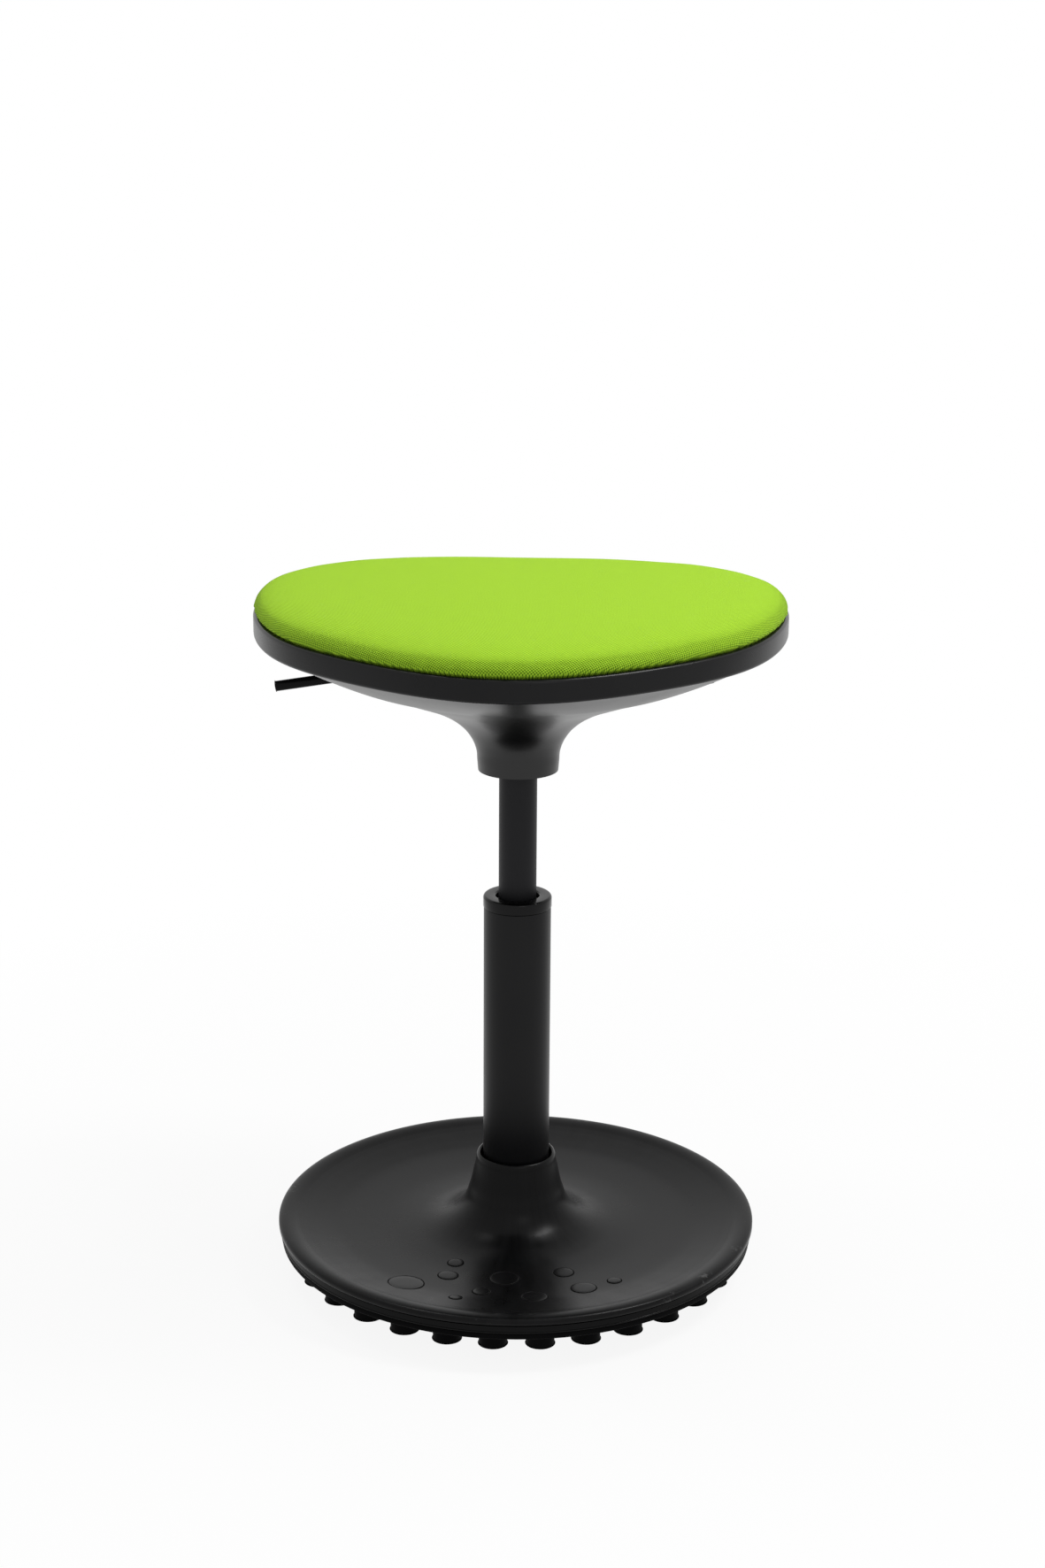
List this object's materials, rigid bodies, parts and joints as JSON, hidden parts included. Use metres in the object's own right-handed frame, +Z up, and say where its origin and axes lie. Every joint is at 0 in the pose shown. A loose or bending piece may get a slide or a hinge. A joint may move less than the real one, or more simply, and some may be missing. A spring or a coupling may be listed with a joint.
{
  "type": "wobble stool",
  "caption": "Height adjustable wobble stool: padded seat with a release lever on a gas spring column, standing on a weighted rocker base with a studded rubber sole.",
  "frame": {"origin": "on the floor, at the centre of the middle stud of the rubber sole", "axes": "+Z up along the column, -Y towards the front edge of the seat, -X towards the height lever"},
  "size_m": [0.3914, 0.3712, 0.526],
  "materials": {
    "black_rubber": "matt moulded",
    "black_plastic": "satin, fine moulded grain",
    "gloss_black_plastic": "gloss",
    "black_paint": "satin powder coat",
    "grey_paint": "satin",
    "zinc_steel": "bright zinc",
    "ballast_iron": "as cast",
    "nylon": "natural",
    "plywood": "raw",
    "green_fabric": "woven mesh"
  },
  "bodies": {
    "base": {"rubber_sole": "black_rubber", "base_tray": "black_plastic", "base_cover": "black_plastic", "cover_screw_1": "zinc_steel", "cover_screw_2": "zinc_steel", "cover_screw_3": "zinc_steel", "cover_screw_4": "zinc_steel", "ballast_plate": "ballast_iron", "column_socket": "black_paint", "socket_screw_1": "zinc_steel", "socket_screw_2": "zinc_steel", "socket_screw_3": "zinc_steel", "socket_screw_4": "zinc_steel", "outer_tube": "black_paint", "guide_bush": "gloss_black_plastic", "tube_base": "zinc_steel", "bearing_race_lower": "zinc_steel"},
    "swivel": {"piston_rod": "zinc_steel", "rod_clip": "zinc_steel", "bearing_cage": "zinc_steel", "bearing_race_upper": "zinc_steel", "bump_stop": "black_rubber", "piston": "zinc_steel", "piston_ring": "black_rubber"},
    "seat": {"pressure_tube": "grey_paint", "end_guide": "nylon", "rod_seal": "black_rubber", "valve_body": "zinc_steel", "taper_socket": "zinc_steel", "seat_plate": "black_paint", "plate_screw_1": "zinc_steel", "plate_screw_2": "zinc_steel", "plate_screw_3": "zinc_steel", "plate_screw_4": "zinc_steel", "lever_bracket": "black_paint", "lever_pin": "zinc_steel", "seat_shell": "black_plastic", "shell_screw_1": "zinc_steel", "shell_screw_2": "zinc_steel", "shell_screw_3": "zinc_steel", "shell_screw_4": "zinc_steel", "rim_band": "black_plastic", "seat_board": "plywood", "cushion": "green_fabric"},
    "lever": {"lever_rod": "black_plastic"},
    "pin": {"release_pin": "zinc_steel"}
  },
  "joints": [
    {"name": "seat_swivel", "type": "hinge", "parent": "base", "child": "swivel", "pos_m": [0, 0, 0.04], "axis": [0, 0, 1], "continuous": true},
    {"name": "seat_height", "type": "slide", "parent": "swivel", "child": "seat", "axis": [0, 0, 1], "range_m": [-0.09, 0.03]},
    {"name": "lever_tilt", "type": "hinge", "parent": "seat", "child": "lever", "pos_m": [-0.034, 0, 0.47529], "axis": [0, 1, 0], "range_deg": [0, 4], "stiffness_Nm_per_rad": 2, "springref_deg": -5.73},
    {"name": "pin_travel", "type": "slide", "parent": "seat", "child": "pin", "axis": [0, 0, -1], "range_m": [0, 0.0024]}
  ],
  "couplings": [
    {"joint": "pin_travel", "follows": "lever_tilt", "m_per_rad": 0.034}
  ]
}
